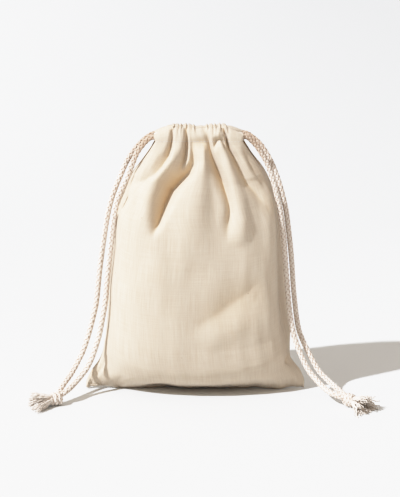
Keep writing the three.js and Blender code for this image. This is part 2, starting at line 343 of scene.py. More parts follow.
def camera_and_light():
    """The photograph's view, 12 degrees down at the pouch from 1.1 m, and a key light from the left and the
    front. Like a camera's, the picture's tone rolls off in the lights: out = in / (1 + in^4)^(1/4)."""
    scene = bpy.context.scene
    tilt = np.radians(12)
    distance = 1.1
    aim_x, aim_z = 0.00395, 0.115
    data = bpy.data.cameras.new("view")
    data.lens = 100.83
    data.sensor_width = 36
    camera = bpy.data.objects.new("view", data)
    camera.location = (aim_x, -distance * np.cos(tilt), aim_z + distance * np.sin(tilt))
    camera.rotation_euler = (np.pi / 2 - tilt, 0, 0)
    scene.collection.objects.link(camera)
    scene.camera = camera
    key_height, key_turn = 42, 58
    key = bpy.data.lights.new("key", "SUN")
    key.energy = 5.9
    key.angle = np.radians(1.8)
    key.color = (0.95, 1.0, 1.085)
    lamp = bpy.data.objects.new("key", key)
    lamp.rotation_euler = (np.radians(90 - key_height), 0, np.radians(-key_turn))
    scene.collection.objects.link(lamp)
    scene.world = sky_material()
    view = scene.view_settings
    view.view_transform = "Standard"
    view.use_curve_mapping = True
    brightest = 2.4
    view.curve_mapping.white_level = (brightest, brightest, brightest)
    tone = view.curve_mapping.curves[3]
    for share in np.arange(1, 12) / 12:
        light_in = brightest * share
        tone.points.new(share, light_in / (1 + light_in ** 4) ** 0.25)
    tone.points[-1].location = (1, 0.995)
    view.curve_mapping.update()


def paper_material():
    """Pale matt paper with painted shade: darker towards the back and the right."""
    graph = Graph("pale_paper")
    place = graph.node("ShaderNodeTexCoord", {}, {}, 3)
    sideways = graph.node("ShaderNodeSeparateXYZ", {}, {"Vector": place}, 0)
    deep = graph.node("ShaderNodeSeparateXYZ", {}, {"Vector": place}, 1)
    # painted shade: the paper darkens towards the back and the right, where less light falls
    far = (deep * 0.45 + sideways * deep * 0.5 + 0.05).clipped()
    paper = graph.mix(far, (0.69, 0.692, 0.675, 1), (0.49, 0.487, 0.478, 1))
    surface = graph.node("ShaderNodeBsdfPrincipled", {}, {
        "Base Color": paper, "Roughness": 0.9, "Specular IOR Level": 0.1})
    return graph.finish(surface)


def studio_floor():
    """A pale seamless sweep: flat, then a quarter turn of 1.6 m radius, then upright."""
    posts = 9
    across = np.linspace(-7000, 7000, posts)
    front, start, radius, top = -9000, 700, 1600, 3500
    flat = np.stack([np.linspace(front, start, 12), np.zeros(12)], 1)
    turn = np.linspace(0, np.pi / 2, 41)[1:]
    bend = np.stack([start + radius * np.sin(turn), radius - radius * np.cos(turn)], 1)
    rise = np.stack([np.full(6, start + radius), np.linspace(radius, top, 7)[1:]], 1)
    profile = np.vstack([flat, bend, rise])
    grid = np.stack([np.broadcast_to(across, (len(profile), posts)),
                     np.repeat(profile[:, :1], posts, 1), np.repeat(profile[:, 1:], posts, 1)], -1)
    base = np.arange(len(profile) - 1)[:, None] * posts + np.arange(posts - 1)
    quads = np.stack([base, base + 1, base + posts + 1, base + posts], -1).reshape(-1, 4)
    floor = add_mesh("studio_floor", grid.reshape(-1, 3), quads)
    floor.data.materials.append(paper_material())


def cord_material(name, flank_shade, exit_shade):
    """Soft cotton: a few yarns side by side with fine twisted fibres. gap is how much painted shade darkens a
    strand's flanks, between it and its neighbours, and rub is how much painted shade browns the cord's first
    46 mm from its start."""
    graph = Graph(name)
    flat = graph.node("ShaderNodeUVMap", {"uv_map": "flat"}, {})
    along = graph.node("ShaderNodeSeparateXYZ", {}, {"Vector": flat}, 0)
    round_turn = graph.node("ShaderNodeSeparateXYZ", {}, {"Vector": flat}, 1)
    side_by_side = 7
    yarns = (round_turn * (2 * np.pi * side_by_side) + along * 0.9).sine()
    noise = graph.node("ShaderNodeTexNoise", {}, {"Vector": flat, "Scale": 3.0, "Detail": 4.0})
    place = graph.node("ShaderNodeTexCoord", {}, {}, 3)
    patch = graph.node("ShaderNodeTexNoise", {}, {"Vector": place, "Scale": 260.0, "Detail": 3.0})
    bump = graph.node("ShaderNodeBump", {}, {"Strength": 0.5, "Distance": 0.00018,
                                             "Height": yarns * 0.5 + noise * 0.8})
    pale = graph.mix((patch * 1.6 - 0.3).clipped(), (0.68, 0.58, 0.49, 1), (0.82, 0.745, 0.66, 1))
    # painted shade: each strand darker on its flanks, between it and its neighbours
    painted_flank_shade = (1.5 - (round_turn * (2 * np.pi)).sine() * 2.0).clipped() * flank_shade
    # painted shade: the cord browner over its first 46 mm, near the casing
    painted_exit_shade = (1.35 - along / 34).clipped() * 0.72 * exit_shade
    tinted = graph.mix(painted_flank_shade, pale, (0.49, 0.345, 0.255, 1))
    colour = graph.mix(painted_exit_shade, tinted, (0.37, 0.235, 0.14, 1))
    surface = graph.node("ShaderNodeBsdfPrincipled", {}, {
        "Base Color": colour, "Roughness": 0.85, "Specular IOR Level": 0.2, "Sheen Weight": 0.25,
        "Sheen Roughness": 0.5, "Normal": bump})
    return graph.finish(surface)


def cloth_material():
    """Unbleached cotton in plain weave: threads along and across the strip, uneven slubs, seed flecks. It
    lets some light through, and painted shade makes it warmer in a fold that faces away from the key light."""
    graph = Graph("unbleached_cotton")
    flat = graph.node("ShaderNodeUVMap", {"uv_map": "flat"}, {})
    across = graph.node("ShaderNodeSeparateXYZ", {}, {"Vector": flat}, 0)
    down = graph.node("ShaderNodeSeparateXYZ", {}, {"Vector": flat}, 1)
    thread_step = 0.62
    thread = 2 * np.pi / thread_step
    weave = (across * thread).sine() * (down * thread).sine()
    stretched = graph.node("ShaderNodeCombineXYZ", {}, {"X": across * 1.3, "Y": down * 0.045})
    warp = graph.node("ShaderNodeTexNoise", {}, {"Vector": stretched, "Scale": 1.0, "Detail": 2.0})
    laid = graph.node("ShaderNodeCombineXYZ", {}, {"X": across * 0.045, "Y": down * 1.3})
    weft = graph.node("ShaderNodeTexNoise", {}, {"Vector": laid, "Scale": 1.0, "Detail": 2.0})
    slub = (warp - 0.5) * 1.0 + (weft - 0.5) * 0.55
    cells = graph.node("ShaderNodeTexVoronoi", {"feature": "F1"},
                       {"Vector": flat, "Scale": 0.06, "Randomness": 1.0})
    fleck = (1.4 - cells * 30).clipped()
    base = graph.mix((slub * 1.9 + 0.5).clipped(), (0.61, 0.498, 0.372, 1), (0.733, 0.638, 0.508, 1))
    # painted shade: a warmer colour deep in folds that face away from the key light
    pressed = graph.node("ShaderNodeAttribute", {"attribute_name": "fold"}, {}, 2)
    warm = graph.mix((pressed * 0.1).clipped() * 0.78, base, (0.80, 0.56, 0.30, 1))
    colour = graph.mix(fleck * 0.75, warm, (0.30, 0.18, 0.09, 1))
    height = weave * 0.35 + slub * 1.2
    bump = graph.node("ShaderNodeBump", {}, {"Strength": 0.45, "Distance": 0.00025, "Height": height})
    surface = graph.node("ShaderNodeBsdfPrincipled", {}, {
        "Base Color": colour, "Roughness": 0.9, "Specular IOR Level": 0.15, "Sheen Weight": 0.15,
        "Sheen Roughness": 0.6, "Normal": bump})
    through = graph.node("ShaderNodeBsdfTranslucent", {}, {"Color": (0.88, 0.64, 0.36, 1)})
    both = graph.node("ShaderNodeMixShader", {}, {0: 0.2, 1: surface, 2: through})
    return graph.finish(both)


# The pouch's cloth. Profiles run down the middle of each panel as (y, z), edges down each side as (x, y, z).

front_profile = [
    (-11.8, 212.7), (-14.8, 211.5), (-16.8, 208.4), (-17.6, 205), (-18, 202.3), (-18.8, 199.5),
    (-20.2, 196), (-22.6, 188), (-26, 175), (-31, 157), (-35.2, 136), (-38.4, 112), (-40, 86),
    (-39.9, 64), (-39.2, 46), (-37.4, 32.5), (-34, 21.6), (-27.6, 13.2), (-18.4, 8.4), (-9, 4.8),
    (-2, 1.9),
]
back_profile = [
    (11.8, 212.7), (14.8, 211.5), (16.8, 208.4), (17.6, 205), (18, 202.3), (18.8, 199.5), (20.4, 196),
    (23.5, 187), (28, 172), (33.4, 150), (37.6, 124), (40, 94), (40.3, 64), (38.4, 40), (33.5, 20),
    (26.5, 8.5), (19, 3), (12, 0.9), (6, 0.7), (2, 0.8), (-2, 1.9),
]
left_edge = [
    (-32, -14.4, 206.8), (-30.2, -14, 202.2), (-35.2, -10, 194), (-41.2, -7, 186), (-46.6, -3, 179),
    (-51, 0, 170.6), (-54.6, 0, 161.8), (-60.4, 0, 150), (-62.2, 0, 141), (-63.3, 0, 122),
    (-64.9, 0, 106), (-66.8, 0, 89), (-67.6, 0, 73), (-69.5, 0, 56.6), (-72.5, 0, 40), (-74.5, 0, 30),
    (-77.5, 0, 23.4), (-82.4, 0, 16.7), (-85.6, 0, 10.8), (-87.6, 0, 4.9), (-87.4, 0, 0.5),
]
right_edge = [
    (37.4, -14.4, 207.4), (37, -14, 202), (42.5, -10, 193.4), (47.6, -7, 186.3), (52.3, -3, 179.2),
    (55.9, 0, 170.6), (58.8, 0, 161.8), (61.6, 0, 150), (63.4, 0, 141), (64.4, 0, 122), (64.6, 0, 106),
    (65, 0, 89), (66.3, 0, 73), (68.6, 0, 56.6), (72.2, 0, 40), (75.6, 0, 28), (79.4, 0, 22),
    (84.4, 0, 15.5), (87.2, 0, 9), (88, 0, 4), (87.8, 0, 0.5),
]

# How many points of a profile and of an edge belong to the casing

casing_points = 5
edge_casing_points = 2

# Creases and swellings, each a line of points (x, z, depth or height, reach on one side, reach on the other).
# The first reach is on the side of lower x where the line runs down, and of higher x where it runs up.

front_creases = [
    # from the left part of the casing out to the left shoulder
    [(-17.6, 213.5, 4.5, 2, 2), (-17.4, 205, 4.6, 2.4, 2), (-18.3, 199, 5.4, 3.6, 2.4),
     (-20.8, 190.5, 5.6, 6, 3.6), (-26, 183.5, 6, 7.5, 4.4), (-31, 178, 5, 7.5, 5), (-39, 173.5, 4, 7, 5),
     (-46, 170, 2.5, 6, 5), (-52, 166, 0, 5, 5)],
    # a short one left of the middle
    [(-6.3, 213.5, 7.5, 2.4, 1.3), (-6, 205, 8.5, 2.6, 1.6), (-6.5, 197, 8.5, 3.4, 3.6),
     (-7.5, 190, 8, 5, 5), (-10, 184, 6, 6, 5), (-15, 178, 2, 6, 5)],
    # the deepest, from the middle down to the lower left
    [(-3.3, 213.5, 7, 1.2, 1.6), (-3, 208, 6.5, 1.2, 1.6), (-2.2, 204, 5.5, 2.4, 2.2),
     (-0.8, 195, 8, 4.5, 2.6), (0.1, 187, 9, 8.5, 4), (-4.2, 179, 11, 14, 5), (-12.4, 172.4, 13.5, 17, 7),
     (-17.6, 167.5, 14.5, 15.5, 7.5), (-22.6, 157.5, 13.5, 12.5, 7.5), (-25.2, 150.5, 12, 11, 6.5),
     (-28.2, 141.5, 9, 8.5, 5), (-31, 135.5, 3.5, 6, 4.5), (-32.5, 131, 0, 5, 4)],
    # from right of the middle almost straight down
    [(8.1, 213.5, 7.5, 2.2, 1.4), (8.8, 209.6, 8, 2.2, 1.4), (10.7, 203, 9, 2.6, 1.5),
     (12, 198, 9.5, 3.6, 1.8), (14.6, 190.3, 9, 6, 2.4), (17.3, 183.8, 9.5, 7.5, 3),
     (19.9, 178.5, 9.5, 8.5, 3.2), (22.5, 172.5, 9, 8.5, 3.2), (25.2, 165, 7.5, 7.5, 3.2),
     (27.2, 157.3, 6, 6.5, 3.2), (27.8, 150.4, 5, 6, 3.4), (26.5, 140.6, 3.4, 7, 4),
     (25.2, 134.5, 1.6, 7, 4.5), (24.5, 127, 0, 5, 5)],
    # from the right part of the casing out to the right shoulder
    [(21.2, 213.5, 7, 2, 1.4), (23.8, 207, 7.5, 2.2, 1.6), (25.2, 201, 8, 2.8, 2.4),
     (27.8, 195.4, 7.5, 4.2, 3.6), (31, 190, 7, 5.5, 5), (35.7, 181, 6.5, 7.5, 6), (40.3, 172, 5.5, 8, 7),
     (46.2, 165.4, 4, 8, 8), (52, 158, 3, 8, 8), (58.9, 147, 1.6, 7, 6), (63, 140, 0, 6, 6)],
    # the arch over the middle pinch at the casing's foot
    [(0.3, 187, 0, 2, 2), (0.4, 192, 3.4, 2.2, 2.2), (1, 197, 5.4, 1.8, 2.8), (2.8, 200.6, 6.4, 1.4, 4.2),
     (5, 202, 6.8, 1.3, 5.6), (7.2, 200.4, 6, 1.4, 4), (8.8, 196.6, 4.4, 1.8, 2.4), (9.4, 191, 2, 2, 2),
     (9.6, 186, 0, 2, 2)],
    # the arch over the right pinch at the casing's foot
    [(14.8, 194, 0, 2, 2), (15.2, 199, 3, 1.8, 2.6), (16.8, 202.4, 4.8, 1.4, 4.2),
     (19.4, 203.6, 5.4, 1.3, 5.2), (21.8, 201.8, 4.2, 1.4, 3.6), (23.4, 198, 2.4, 1.8, 2.2),
     (24, 194, 0, 2, 2)],
    # a dent beside the left edge, below the shoulder
    [(-50.6, 171, 0, 3, 2), (-52.6, 166, 4.5, 4.5, 2), (-53.8, 159.4, 6.5, 5.5, 2.2),
     (-57, 153, 6, 5, 2.2), (-60, 148, 3.6, 3, 2), (-61.6, 142.5, 0, 2, 2)],
    # a shallow one over the right shoulder
    [(35.5, 200, 0, 4, 4), (40, 192, 2, 5, 4), (45, 182, 2.4, 6, 5), (51, 172, 1.6, 6, 5),
     (57, 162, 0, 5, 5)],
    # the left corner of the foot
    [(-70, 30, 0, 2, 2), (-72.6, 24, 1.6, 2, 2.4), (-75.4, 19, 2, 2.4, 2.6), (-78.6, 14, 1.4, 2.4, 2.6),
     (-80, 9, 0, 2, 2)],
    # the right corner of the foot
    [(78, 30, 1.2, 2.4, 2.4), (74, 27.6, 3, 2.6, 2.4), (73.4, 24.4, 3, 2.6, 2.4), (76.6, 22, 1, 2, 2)],
    # the wide slanting hollow at the lower right
    [(54, 96, 0, 12, 14), (46, 90, 2, 18, 24), (37.2, 82.6, 3.2, 22, 30), (27.7, 77, 3.2, 24, 32),
     (19.8, 71.6, 2.8, 22, 30), (8.6, 65, 1.8, 20, 26), (-6, 55, 0, 16, 20)],
    # a thin line that leaves it downwards
    [(54.6, 93.5, 0, 5, 6), (48.8, 82.8, 1.6, 5, 6), (42.9, 68, 0, 5, 6)],
    # along the right edge
    [(66, 96, 0, 3, 3), (67, 70, 0.8, 3, 3), (72, 36, 1.2, 3, 3), (74, 29, 0.4, 3, 3)],
]

# The small tucks in the rim, by their x

rim_tucks = [-15.2, -12.9, -10.4, -8, -0.9, 2.9, 5.8, 12.2, 14.6, 17, 19.4, 26]

front_swellings = [
    # the casing above the right pinch
    [(17, 213.5, 1.6, 3.4, 3.4), (18.6, 208, 2, 3.6, 3.6), (20, 203, 1, 3.4, 3.4)],
    # the middle ridge, from its pinch down to the belly
    [(5, 200.6, 2.4, 2.4, 2.4), (5, 197.4, 4.4, 3.6, 3.6), (5.2, 190, 3.6, 5.6, 5),
     (4.6, 178, 3.4, 10, 8), (2, 164, 4.6, 17, 13), (-1, 148, 4.6, 22, 18), (-2, 128, 3, 26, 24),
     (-2, 104, 0, 28, 28)],
    # the ridge left of it, out to the left
    [(-11.5, 203, 0.6, 4, 4), (-13, 196, 1.6, 5, 5), (-20, 186, 2.6, 7, 6), (-29, 174, 3.2, 9, 8),
     (-34.5, 160, 3.4, 10, 8), (-38, 145, 2.2, 10, 10), (-38, 130, 0, 10, 10)],
    # the ridge right of it, from the right pinch down
    [(19.4, 202, 1.4, 2.4, 2.4), (20.2, 199, 3.2, 3.8, 3.6), (24, 191, 2.4, 5, 5), (28.4, 178, 2.8, 7, 7),
     (33, 159, 3.6, 8, 9), (36, 142, 4, 9, 9), (35.4, 132, 2.8, 9.5, 9.5), (34, 122, 0, 10, 10)],
    # beside the right edge, below the shoulder
    [(54, 168, 0, 6, 5), (57, 158, 1.8, 6, 5), (60, 148, 1.6, 6, 5), (61, 138, 0, 6, 5)],
    # under the slanting hollow at the lower right
    [(48, 66, 0, 12, 12), (34, 62, 1.4, 14, 14), (20, 54, 1.2, 14, 14), (4, 46, 0, 12, 12)],
    # the belly left of the middle
    [(-30, 120, 0, 20, 20), (-26, 100, 1.2, 24, 24), (-22, 78, 0, 20, 20)],
]
back_creases = [
    # at negative x, from the casing down and out
    [(-19, 213.5, 5, 1.6, 2), (-19.5, 204, 6, 1.8, 2.6), (-21, 196, 7, 2.2, 4), (-27, 182, 7, 4, 7),
     (-35, 166, 6, 5, 10), (-41, 148, 4, 7, 10), (-45, 132, 0, 8, 8)],
    # a short one between it and the middle
    [(-10.5, 213.5, 6, 1.6, 1.8), (-10.5, 204, 6.5, 1.8, 2.2), (-11, 196, 7, 2.2, 3.4),
     (-14, 184, 5.5, 3.5, 5), (-18, 172, 2.5, 5, 6), (-21, 164, 0, 5, 5)],
    # the deepest, from the middle down
    [(-1.5, 213.5, 6, 1.8, 1.6), (-1.8, 204, 6.5, 2.2, 1.8), (-3, 196, 7.5, 3.4, 2.2),
     (-4, 182, 8.5, 8, 5), (-7, 164, 8, 11, 8), (-9, 146, 5.5, 11, 9), (-10, 128, 2.5, 10, 9),
     (-10, 112, 0, 9, 9)],
    # a short one on the other side of the middle
    [(7.5, 213.5, 5.5, 1.6, 1.8), (8, 204, 6, 1.8, 2.2), (9.5, 196, 6.5, 2.2, 3.4), (13, 186, 5, 3.5, 5),
     (16, 176, 2.5, 4.5, 5.5), (18, 168, 0, 5, 5)],
    # at positive x, from the casing down and out
    [(16, 213.5, 6, 2, 1.6), (17, 204, 6.5, 2.6, 1.8), (20, 195, 7.5, 4, 2.4), (27, 180, 8, 8, 5),
     (33, 164, 7, 10, 7), (38, 146, 4.5, 10, 8), (41, 130, 0, 9, 9)],
    # from the casing's end at positive x out to the shoulder
    [(26, 213.5, 5, 1.8, 1.8), (27.5, 204, 5.5, 2.2, 2.2), (31, 195, 6, 3.4, 3.4), (39, 182, 5, 5, 5),
     (48, 168, 3, 6, 6), (55, 156, 0, 6, 6)],
    # the upper broad hollow
    [(-60, 96, 0, 12, 12), (-42, 88, 3, 14, 14), (-22, 82, 2.6, 15, 14), (-4, 76, 0, 12, 12)],
    # the lower broad hollow
    [(70, 60, 0, 8, 8), (52, 48, 2.6, 12, 12), (30, 42, 2, 12, 12), (10, 40, 0, 10, 10)],
]
back_swellings = [
    # the middle ridge
    [(2.8, 203, 0.4, 4, 4), (3, 196, 1.6, 5, 5), (5, 180, 2, 9, 8), (8, 160, 2, 14, 12),
     (10, 140, 0, 14, 14)],
    # the ridge beside it
    [(-15, 203, 0.4, 4, 4), (-16, 196, 1.4, 4, 4), (-21, 180, 2, 6, 7), (-26, 160, 2, 9, 9),
     (-28, 140, 0, 10, 10)],
]


def smooth_line(points, count, lean=1.0):
    """A curve through the points as count points. With lean over 1 the steps grow from first to last."""
    fine = curve_through(points, 0.2)
    share = np.linspace(0, 1, count) ** lean
    place = share * (len(fine) - 1)
    return np.stack([np.interp(place, np.arange(len(fine)), fine[:, k]) for k in range(fine.shape[1])], 1)


def panel_line(points, body_from):
    """A profile or an edge in two stretches, casing and body, so that the casing's foot is one row."""
    casing = smooth_line(points[:body_from], hem_rows)
    body = smooth_line(points[body_from - 1:], panel_rows - hem_rows + 1, 1.12)
    return np.vstack([casing[:-1], body])


def along_strokes(x, z, strokes, profile, spread):
    """Height over the plane (x, z) of strokes that run along lines: at a distance d from a line and on its
    left or right, height times profile(d / (reach spread)). Strokes that meet are joined as the cube root of
    the sum of their cubes."""
    total = np.zeros_like(x)
    for stroke in strokes:
        stroke = np.asarray(stroke, float)
        nearest = np.full(x.shape, np.inf)
        height = np.zeros_like(x)
        for a, b in zip(stroke[:-1], stroke[1:]):
            run = b[:2] - a[:2]
            share = np.clip(((x - a[0]) * run[0] + (z - a[1]) * run[1]) / (run @ run), 0, 1)
            dx = x - a[0] - share * run[0]
            dz = z - a[1] - share * run[1]
            away = np.hypot(dx, dz)
            right = run[0] * dz - run[1] * dx > 0
            reach = np.where(right, a[4] + share * (b[4] - a[4]), a[3] + share * (b[3] - a[3]))
            value = (a[2] + share * (b[2] - a[2])) * profile(np.clip(away / reach / spread, 0, 1))
            height = np.where(away < nearest, value, height)
            nearest = np.minimum(nearest, away)
        total += height ** 3
    return np.cbrt(total)


def crease_profile(t):
    return (1 - t) ** 2


def swelling_profile(t):
    return (1 - t * t) ** 2


def gently(values, rows, across):
    """Values on a grid, averaged with their neighbours: a bell of that many rows and columns."""
    for axis, width in ((0, rows), (1, across)):
        if width > 0:
            reach = int(np.ceil(3 * width))
            weights = np.exp(-0.5 * (np.arange(-reach, reach + 1) / width) ** 2)
            weights /= weights.sum()
            pad = [(0, 0), (0, 0)]
            pad[axis] = (reach, reach)
            padded = np.pad(values, pad, mode="edge")
            values = sum(w * np.take(padded, np.arange(values.shape[axis]) + k, axis)
                         for k, w in enumerate(weights))
    return values


def ripples(shape, across, down, seed):
    """Even random waves on a grid, about across columns wide and down rows long, with a height near 1."""
    grain = np.random.default_rng(seed).normal(size=shape)
    grain = gently(grain, down, across)
    return grain / grain.std()


def grid_normals(grid):
    down = np.gradient(grid, axis=0)
    across = np.gradient(grid, axis=1)
    normal = np.cross(down, across)
    return normal / np.maximum(np.linalg.norm(normal, axis=2), 1e-9)[..., None]


def by_height(level, values):
    """One number for each row, between the values for heights of 213, 202, 185, 150, 60, 25 and 9 mm."""
    return np.interp(-level, [-213, -202, -185, -150, -60, -25, -9], values)[:, None]


def row_powers(level, side, cosine):
    """The powers n and m of each row's superellipse. The front's right half has an m of its own, which makes
    it fuller in the body and flatter near the casing."""
    flatness = by_height(level, [0.42, 0.45, 0.62, 0.78, 0.8, 0.86, 0.95])
    steep = by_height(level, [0.3, 0.34, 0.62, 0.8, 0.82, 0.95, 1.15])
    foot = np.arange(len(level)) / (len(level) - 1) > 0.9
    steep[foot] = np.maximum(steep[foot], 1.05)
    steep_right = by_height(level, [0.85, 0.75, 0.6, 0.48, 0.48, 0.75, 1.1])
    steep = np.where((cosine < 0) & (side < 0), np.minimum(steep_right, steep + 0.4), steep)
    return flatness, steep


def bulge_past_edges(edge_level, side, cosine, sine):
    """How far each row swells past its left and its right edge."""
    left_bulge, right_bulge = (0.3, 0.4) if side < 0 else (3.0, 8.8)
    heights = [20, 50, 80, 110, 150, 174, 188]
    left = left_bulge * np.interp(edge_level, heights, [0, 0.75, 1, 0.95, 1.15, 0.9, 0])
    right = right_bulge * np.interp(edge_level, heights, [0, 1.0, 1, 0.86, 0.66, 0.36, 0])
    return np.where(cosine > 0, left, right) * (1 - np.exp(-(sine / 0.13) ** 2))


def bare_panel(profile, side):
    """One panel before its folds, as x, y and z of each point, and the sine of each column's angle.
    A row is half of a superellipse from the left edge over the middle profile to the right edge:
    x = middle - (half + bulge) sign(cos a) |cos a|^n, y = edge + (middle - edge) sin(a)^m, z alike.
    Near the top z follows the profile in the middle and falls to the edges only at the wings."""
    mirror = np.array([1, -side, 1])
    centre = panel_line(profile, casing_points)
    left = panel_line(np.multiply(left_edge, mirror), edge_casing_points)
    right = panel_line(np.multiply(right_edge, mirror), edge_casing_points)
    left[left[:, 2] < slit_foot, 1] = 0
    right[right[:, 2] < slit_foot, 1] = 0
    angle = np.linspace(0, np.pi, fine_columns)
    cosine, sine = np.cos(angle), np.clip(np.sin(angle), 0, 1)
    level = centre[:, 1]
    flatness, steep = row_powers(level, side, cosine)
    tilt = 0.38 * np.interp(-level, [-205, -190, -150, -40, -10], [0, 0.5, 1, 1, 0])[:, None] * (side < 0)
    middle = (left[:, :1] + right[:, :1]) / 2
    half = (right[:, :1] - left[:, :1]) / 2
    over = bulge_past_edges((left[:, 2:] + right[:, 2:]) / 2, side, cosine, sine)
    weight = np.abs(cosine) ** flatness * np.sign(cosine)
    x = middle - (half + over) * weight
    to_right = (1 - weight) / 2
    edge_y = left[:, 1:2] * (1 - to_right) + right[:, 1:2] * to_right
    edge_z = left[:, 2:] * (1 - to_right) + right[:, 2:] * to_right
    y = edge_y + (centre[:, :1] - edge_y) * sine ** steep * (1 + tilt * (0.42 - to_right))
    drop = np.interp(-level, [-40, -9], [1.0, 0.75])[:, None]
    wing = np.clip((level - 188) / 10, 0, 1)[:, None]
    slope = np.clip((1 - np.abs(weight)) / 0.4, 0, 1) ** 0.85
    z = edge_z + (centre[:, 1:] - edge_z) * (sine ** drop * (1 - wing) + slope * wing)
    return x, y, z, sine


def tucks_in_rim(x, z, side):
    """Small grooves down from the rim, at mirrored and closer places on the back."""
    tucks = sum(1.7 * np.exp(-((x - own * (1 if side < 0 else -0.9)) / 0.75) ** 2) for own in rim_tucks)
    return tucks * np.clip((z - 205.5) / 5, 0, 1)


def soft_waves(z, seed):
    """Slight random unevenness of the body, none in the casing."""
    coarse = 160
    size = (panel_rows, coarse)
    wave = ripples(size, 3.0, 11.0, seed) * 0.28 + ripples(size, 8.0, 20.0, seed + 1) * 0.5
    wanted = np.linspace(0, coarse - 1, fine_columns)
    wave = np.stack([np.interp(wanted, np.arange(coarse), row) for row in wave])
    return wave * np.clip((202 - z) / 20, 0, 1)


def dents_in_rim(x, z):
    """How far the rim dips, uneven from fold to fold and deeper in the middle."""
    dent = 0.55 * np.sin(x * 1.9) + 0.45 * np.sin(x * 3.1 + 1) + 1.5 * np.exp(-((x - 4) / 5) ** 2)
    return dent * np.clip((z - 204) / 8.7, 0, 1) * np.clip((22 - np.abs(x - 3)) / 3, 0, 1)


def panel(profile, side, creases, swellings, seed):
    """One panel of the pouch as a grid of points, from the top of its casing to the foot. Creases press the
    bare panel in and swellings push it out along its normal, which lies level near the rim. side is -1 for
    the front and 1 for the back."""
    floor_gap = 0.2
    x, y, z, sine = bare_panel(profile, side)
    grid = np.stack([x, y, z], -1)
    normal = grid_normals(grid) * -side
    normal[..., 2] *= np.clip((206 - z) / 12, 0, 1)
    normal /= np.linalg.norm(normal, axis=2)[..., None]
    pressed = along_strokes(x, z, creases, crease_profile, 1.22)
    pushed = along_strokes(x, z, swellings, swelling_profile, 1)
    near_edge = np.clip(sine / 0.12, 0, 1)
    height = (pushed - pressed - tucks_in_rim(x, z, side) + soft_waves(z, seed)) * near_edge
    height = gently(height, 0.6, 3.0)
    grid = grid + normal * height[..., None]
    grid[..., 2] -= dents_in_rim(x, z)
    grid[..., 2] = np.maximum(grid[..., 2], floor_gap)
    # painted shade for the folds: crease depth, more where the cloth faces away from the key light
    facing = gently(grid_normals(grid)[..., 0] * -side, 0.6, 4.0)
    hollow = pressed * np.clip(0.45 + 1.6 * facing, 0.05, 1)
    return even_columns(np.concatenate([grid, hollow[..., None]], 2))


def even_columns(grid):
    """The same surface with columns at nearly equal steps along each row. A point's fourth number is the
    painted shade of a fold: how deep the point lies in it, less where it faces the key light."""
    steps = np.linalg.norm(np.diff(grid[..., :3], axis=1), axis=2)
    along = np.concatenate([np.zeros((len(grid), 1)), np.cumsum(steps, axis=1)], 1)
    wanted = np.linspace(0, 1, columns + 1)
    places = np.stack([np.interp(wanted * row[-1], row, np.arange(fine_columns)) for row in along])
    places = gently(places, 3.0, 0)
    places[:, 0], places[:, -1] = 0, fine_columns - 1
    index = np.arange(fine_columns)
    rows = [[np.interp(place, index, row[:, k]) for k in range(4)] for place, row in zip(places, grid)]
    return np.stack(rows).transpose(0, 2, 1)


def hem(casing, side):
    """The casing's inner layer, from its foot behind the cords up to the top fold. It is the outer layer
    moved back by a lane's depth, which closes at the foot and at the fold and is less at the casing's ends.
    It stays clear of the other casing's inner layer."""
    lane_depth, least_depth, clear_of_middle = 15.8, 0.9, 1.9
    share = np.linspace(0, 1, len(casing))[:, None]
    depth = lane_depth * np.sin(np.pi * share) ** 0.6
    ends = np.clip(np.minimum(np.arange(columns + 1), columns - np.arange(columns + 1)) / 14, 0, 1)
    depth = depth * (0.36 + 0.64 * ends)
    inner = casing[::-1].copy()
    inner[..., 1] = inner[..., 1] - side * np.maximum(depth, least_depth)
    inner[..., 2] -= 0.6 * np.sin(np.pi * share)
    inner[..., 1] = side * np.maximum(side * inner[..., 1], clear_of_middle)
    return inner[:-1]


def pouch_cloth(material):
    """The whole strip: the front's inner hem, the front, the back from the foot up, and the back's inner hem.
    Below the slits the front's and the back's side columns are the same points and are welded. Returns the
    piece and its two panels."""
    front_seed, back_seed = 3, 11
    front = panel(front_profile, -1, front_creases, front_swellings, front_seed)
    back = panel(back_profile, 1, back_creases, back_swellings, back_seed)
    strip = np.vstack([hem(front[:hem_rows], -1), front, back[::-1][1:], hem(back[:hem_rows], 1)[::-1]])
    rows = len(strip)
    corner = np.arange(rows - 1)[:, None] * (columns + 1) + np.arange(columns)
    below = corner + columns + 1
    quads = np.stack([corner, below, below + 1, corner + 1], -1).reshape(-1, 4)
    middle = strip[:, columns // 2, :3]
    down = distance_along(middle)
    uv = np.stack(np.broadcast_arrays(np.arange(columns + 1) * strip_width / columns, down[:, None]), -1)
    cloth = add_mesh("pouch_cloth_sewn", strip[..., :3].reshape(-1, 3), quads, uv=uv.reshape(-1, 2))
    # the painted shade of the folds, read by the cloth's colour
    fold = cloth.data.attributes.new("fold", "FLOAT", "POINT")
    fold.data.foreach_set("value", strip[..., 3].ravel().astype(np.float32))
    solid = bmesh.new()
    solid.from_mesh(cloth.data)
    bmesh.ops.remove_doubles(solid, verts=solid.verts, dist=1e-6)
    solid.to_mesh(cloth.data)
    solid.free()
    wall = cloth.modifiers.new("thickness", "SOLIDIFY")
    wall.thickness = cloth_thickness * MM
    wall.offset = -1
    cloth.data.materials.append(material)
    return cloth, front, back


